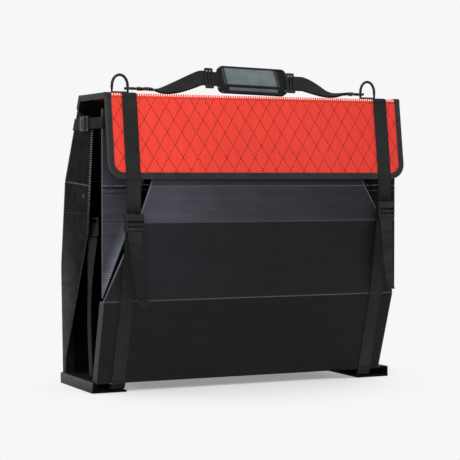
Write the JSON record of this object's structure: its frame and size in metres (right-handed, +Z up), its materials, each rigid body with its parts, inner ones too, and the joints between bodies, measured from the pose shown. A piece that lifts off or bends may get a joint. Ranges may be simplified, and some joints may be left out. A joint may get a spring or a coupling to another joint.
{
  "type": "folding kayak",
  "caption": "Creased twin-wall kayak folded into a strapped box-shaped case, with a bound floorboard lid, side-release end buckles, D-rings and a clip-on shoulder strap.",
  "frame": {"origin": "centre of the case on the surface that it stands on", "axes": "+X along the width of the case, to the right of someone who faces its front; -Y out of the front; +Z up"},
  "size_m": [0.8386, 0.3702, 0.8079],
  "materials": {
    "hull_sheet": "satin extruded twin-wall sheet",
    "lid_sheet": "satin extruded twin-wall sheet",
    "binding": "woven edge tape",
    "webbing": "woven webbing",
    "buckle": "moulded",
    "hook_steel": "blackened",
    "pad_cloth": "padded mesh cloth",
    "seat_foam": "foam board"
  },
  "bodies": {
    "case": {"front_panel": "hull_sheet", "front_corner_left": "hull_sheet", "front_corner_right": "hull_sheet", "hull_floor": "hull_sheet", "back_panel": "hull_sheet", "end_strip_left": "hull_sheet", "end_strip_right": "hull_sheet", "foot_left": "hull_sheet", "foot_right": "hull_sheet", "bow_section": "hull_sheet", "stern_section": "hull_sheet", "bow_bulkhead": "hull_sheet", "stern_bulkhead": "hull_sheet", "seat_base": "seat_foam", "seat_back": "seat_foam", "lid_back_panel": "lid_sheet", "lid_back_binding": "binding", "lower_strap_left": "webbing", "end_strap_front_left": "webbing", "end_strap_back_left": "webbing", "lower_strap_right": "webbing", "end_strap_front_right": "webbing", "end_strap_back_right": "webbing", "deck_strap": "webbing", "buckle_socket_left": "buckle", "buckle_plug_left": "buckle", "buckle_socket_right": "buckle", "buckle_plug_right": "buckle", "deck_clip": "buckle"},
    "lid_top": {"lid_top_panel": "lid_sheet", "lid_top_binding_left": "binding", "lid_top_binding_right": "binding", "top_strap_left": "webbing", "top_strap_right": "webbing", "snap_hook_left": "hook_steel", "snap_hook_right": "hook_steel", "shoulder_strap": "webbing", "strap_return_left": "webbing", "strap_return_right": "webbing", "shoulder_pad": "pad_cloth", "strap_adjuster_right": "buckle"},
    "lid_flap": {"lid_flap_panel": "lid_sheet", "lid_flap_binding": "binding", "front_strap_left": "webbing", "front_strap_right": "webbing"},
    "adjuster_left": {"strap_adjuster_left": "buckle"},
    "d_ring_left": {"d_ring_left": "buckle"},
    "snap_gate_left": {"snap_gate_left": "hook_steel"},
    "ladder_lock_left": {"ladder_lock_left": "buckle", "strap_wrap_left": "webbing"},
    "strap_tail_left": {"strap_tail_left": "webbing"},
    "prong_upper_left": {"buckle_prong_upper_left": "buckle"},
    "prong_lower_left": {"buckle_prong_lower_left": "buckle"},
    "d_ring_right": {"d_ring_right": "buckle"},
    "snap_gate_right": {"snap_gate_right": "hook_steel"},
    "ladder_lock_right": {"ladder_lock_right": "buckle", "strap_wrap_right": "webbing"},
    "strap_tail_right": {"strap_tail_right": "webbing"},
    "prong_upper_right": {"buckle_prong_upper_right": "buckle"},
    "prong_lower_right": {"buckle_prong_lower_right": "buckle"}
  },
  "joints": [
    {"name": "lid_top_hinge", "type": "hinge", "parent": "case", "child": "lid_top", "pos_m": [0, 0.04282, 0.7325], "axis": [-1, 0, 0], "range_deg": [0, 110]},
    {"name": "lid_flap_hinge", "type": "hinge", "parent": "lid_top", "child": "lid_flap", "pos_m": [0, -0.14418, 0.7325], "axis": [-1, 0, 0], "range_deg": [0, 100]},
    {"name": "d_ring_left_hinge", "type": "hinge", "parent": "lid_top", "child": "d_ring_left", "pos_m": [-0.348, -0.08418, 0.7356], "axis": [1, 0, 0], "range_deg": [-7, 7]},
    {"name": "snap_gate_left_hinge", "type": "hinge", "parent": "lid_top", "child": "snap_gate_left", "pos_m": [-0.3171, -0.07368, 0.7476], "axis": [0, 0, 1], "range_deg": [0, 12], "stiffness_Nm_per_rad": 0.05},
    {"name": "ladder_lock_left_hinge", "type": "hinge", "parent": "case", "child": "ladder_lock_left", "pos_m": [-0.348, -0.17518, 0.401], "axis": [1, 0, 0], "range_deg": [0, 25]},
    {"name": "strap_tail_left_hinge", "type": "hinge", "parent": "ladder_lock_left", "child": "strap_tail_left", "pos_m": [-0.348, -0.18289, 0.40075], "axis": [1, 0, 0], "range_deg": [-25, 0]},
    {"name": "prong_upper_left_flex", "type": "hinge", "parent": "case", "child": "prong_upper_left", "pos_m": [-0.4143, -0.02318, 0.6749], "axis": [-1, 0, 0], "range_deg": [0, 4], "stiffness_Nm_per_rad": 0.05},
    {"name": "prong_lower_left_flex", "type": "hinge", "parent": "case", "child": "prong_lower_left", "pos_m": [-0.4143, -0.02318, 0.6491], "axis": [1, 0, 0], "range_deg": [0, 4], "stiffness_Nm_per_rad": 0.05},
    {"name": "d_ring_right_hinge", "type": "hinge", "parent": "lid_top", "child": "d_ring_right", "pos_m": [0.348, -0.08418, 0.7356], "axis": [1, 0, 0], "range_deg": [-7, 7]},
    {"name": "snap_gate_right_hinge", "type": "hinge", "parent": "lid_top", "child": "snap_gate_right", "pos_m": [0.3171, -0.09468, 0.7476], "axis": [0, 0, 1], "range_deg": [0, 12], "stiffness_Nm_per_rad": 0.05},
    {"name": "ladder_lock_right_hinge", "type": "hinge", "parent": "case", "child": "ladder_lock_right", "pos_m": [0.348, -0.17518, 0.427], "axis": [1, 0, 0], "range_deg": [0, 25]},
    {"name": "strap_tail_right_hinge", "type": "hinge", "parent": "ladder_lock_right", "child": "strap_tail_right", "pos_m": [0.348, -0.18289, 0.42675], "axis": [1, 0, 0], "range_deg": [-25, 0]},
    {"name": "prong_upper_right_flex", "type": "hinge", "parent": "case", "child": "prong_upper_right", "pos_m": [0.4143, -0.02318, 0.6749], "axis": [-1, 0, 0], "range_deg": [0, 4], "stiffness_Nm_per_rad": 0.05},
    {"name": "prong_lower_right_flex", "type": "hinge", "parent": "case", "child": "prong_lower_right", "pos_m": [0.4143, -0.02318, 0.6491], "axis": [1, 0, 0], "range_deg": [0, 4], "stiffness_Nm_per_rad": 0.05},
    {"name": "adjuster_left_slide", "type": "slide", "parent": "lid_top", "child": "adjuster_left", "axis": [0.9996, 0, -0.0297], "range_m": [0, 0.0137]}
  ],
  "couplings": [
    {"joint": "strap_tail_left_hinge", "follows": "ladder_lock_left_hinge", "ratio": -1},
    {"joint": "prong_lower_left_flex", "follows": "prong_upper_left_flex", "ratio": 1},
    {"joint": "strap_tail_right_hinge", "follows": "ladder_lock_right_hinge", "ratio": -1},
    {"joint": "prong_lower_right_flex", "follows": "prong_upper_right_flex", "ratio": 1}
  ]
}
